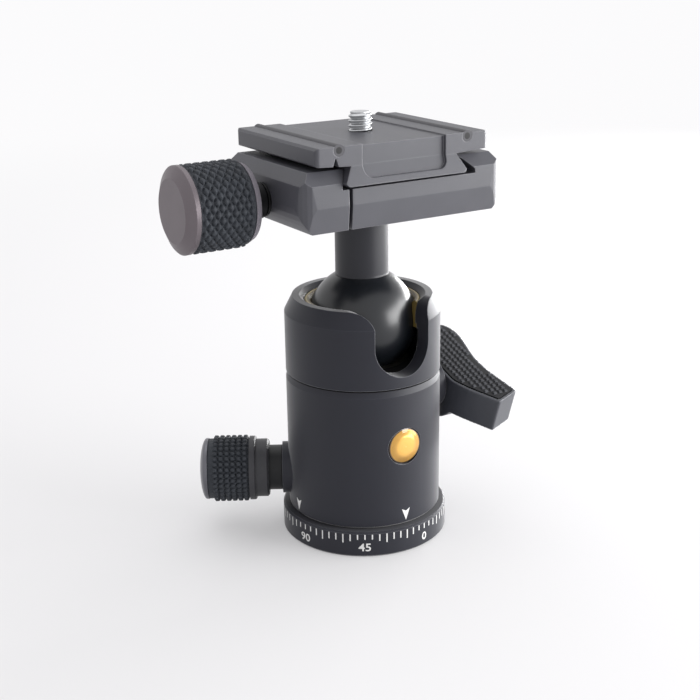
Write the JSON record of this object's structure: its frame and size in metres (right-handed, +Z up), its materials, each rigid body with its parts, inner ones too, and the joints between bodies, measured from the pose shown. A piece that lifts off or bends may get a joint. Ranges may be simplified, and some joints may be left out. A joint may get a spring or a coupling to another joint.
{
  "type": "tripod ball head",
  "caption": "Compact tripod ball head with a panning base, a locking lever, a drop notch and a dovetail clamp that holds a quick-release camera plate.",
  "frame": {"origin": "centre of the underside of the base, at the mouth of the tripod thread", "axes": "+Z up along the panning axis; the drop notch faces -Y; the lock lever is on +X and the clamp knob on -X; the plate slides along Y"},
  "size_m": [0.0946, 0.0533, 0.1179],
  "materials": {
    "black_anodised": "fine blasted and black anodised",
    "grey_anodised": "fine blasted and dark grey anodised",
    "black_ball": "satin black hard coat",
    "black_cast": "satin black coat",
    "black_rubber": "moulded, diamond pattern",
    "grey_rubber": "smooth cord",
    "gold_polymer": "golden low-friction polymer",
    "gold_badge": "clear domed resin over gold",
    "gunmetal_cap": "satin anodised",
    "silver_cap": "turned and anodised",
    "steel": "bright zinc plated",
    "aluminium": "as turned",
    "brass": "as turned",
    "white_polymer": "natural acetal"
  },
  "bodies": {
    "base": {"pan_base": "black_anodised", "thread_insert": "steel", "pan_washer": "white_polymer", "pan_retainer": "steel"},
    "housing": {"lower_housing": "black_anodised", "upper_housing": "black_anodised", "ball_liner": "gold_polymer", "badge_disc": "gold_badge", "pan_bush": "brass", "lever_bush": "brass"},
    "piston": {"lock_piston": "aluminium", "ball_seat": "gold_polymer"},
    "lever": {"cam_shaft": "steel", "lock_lever": "black_cast", "lever_pads": "black_rubber", "lever_screw": "steel"},
    "pan_brake": {"brake_pad": "brass"},
    "pan_knob": {"pan_screw": "steel", "pan_knob": "black_cast", "pan_grip": "black_rubber", "pan_cap": "silver_cap"},
    "ball": {"ball": "black_ball"},
    "stem": {"stem": "black_ball"},
    "clamp": {"stem_bolt": "steel", "clamp_body": "grey_anodised", "jaw_pins": "steel", "jaw_springs": "steel"},
    "jaw": {"clamp_jaw": "grey_anodised", "thrust_washer": "steel"},
    "clamp_knob": {"clamp_screw": "steel", "knob_core": "black_cast", "knob_grip": "black_rubber", "knob_cap": "gunmetal_cap"},
    "plate": {"quick_plate": "grey_anodised", "plate_cords": "grey_rubber", "screw_clip": "steel"},
    "camera_screw": {"camera_screw": "steel"}
  },
  "joints": [
    {"name": "pan", "type": "hinge", "parent": "base", "child": "housing", "pos_m": [0, 0, 0], "axis": [0, 0, 1], "continuous": true},
    {"name": "lock_lever_turn", "type": "hinge", "parent": "housing", "child": "lever", "pos_m": [0, 0, 0.0385], "axis": [1, 0, 0], "range_deg": [-60, 15]},
    {"name": "piston_lift", "type": "slide", "parent": "housing", "child": "piston", "axis": [0, 0, 1], "range_m": [-0.0004, 0.0001]},
    {"name": "pan_knob_turn", "type": "hinge", "parent": "housing", "child": "pan_knob", "pos_m": [0, 0, 0.0172], "axis": [-0.866, 0.5, 0], "range_deg": [-90, 90]},
    {"name": "pan_brake_slide", "type": "slide", "parent": "housing", "child": "pan_brake", "axis": [-0.866, 0.5, 0], "range_m": [-0.00025, 0.00025]},
    {"name": "ball_side_tilt", "type": "hinge", "parent": "housing", "child": "ball", "pos_m": [0, 0, 0.0612], "axis": [0, 1, 0], "range_deg": [-26, 26]},
    {"name": "ball_front_tilt", "type": "hinge", "parent": "ball", "child": "stem", "pos_m": [0, 0, 0.0612], "axis": [1, 0, 0], "range_deg": [-22, 90]},
    {"name": "ball_spin", "type": "hinge", "parent": "stem", "child": "clamp", "pos_m": [0, 0, 0.0612], "axis": [0, 0, 1], "continuous": true},
    {"name": "jaw_slide", "type": "slide", "parent": "clamp", "child": "jaw", "axis": [-1, 0, 0], "range_m": [0, 0.0045]},
    {"name": "clamp_knob_turn", "type": "hinge", "parent": "jaw", "child": "clamp_knob", "pos_m": [0, 0, 0.098], "axis": [-1, 0, 0], "range_deg": [0, 1080]},
    {"name": "plate_slide", "type": "slide", "parent": "clamp", "child": "plate", "axis": [0, 1, 0], "range_m": [-0.04, 0.04]},
    {"name": "camera_screw_turn", "type": "hinge", "parent": "plate", "child": "camera_screw", "pos_m": [0, 0, 0.1], "axis": [0, 0, 1], "continuous": true}
  ],
  "couplings": [
    {"joint": "piston_lift", "follows": "lock_lever_turn", "m_per_rad": 0.00038},
    {"joint": "pan_brake_slide", "follows": "pan_knob_turn", "m_per_rad": 0.00015915},
    {"joint": "clamp_knob_turn", "follows": "jaw_slide", "rad_per_m": 4188.8}
  ]
}
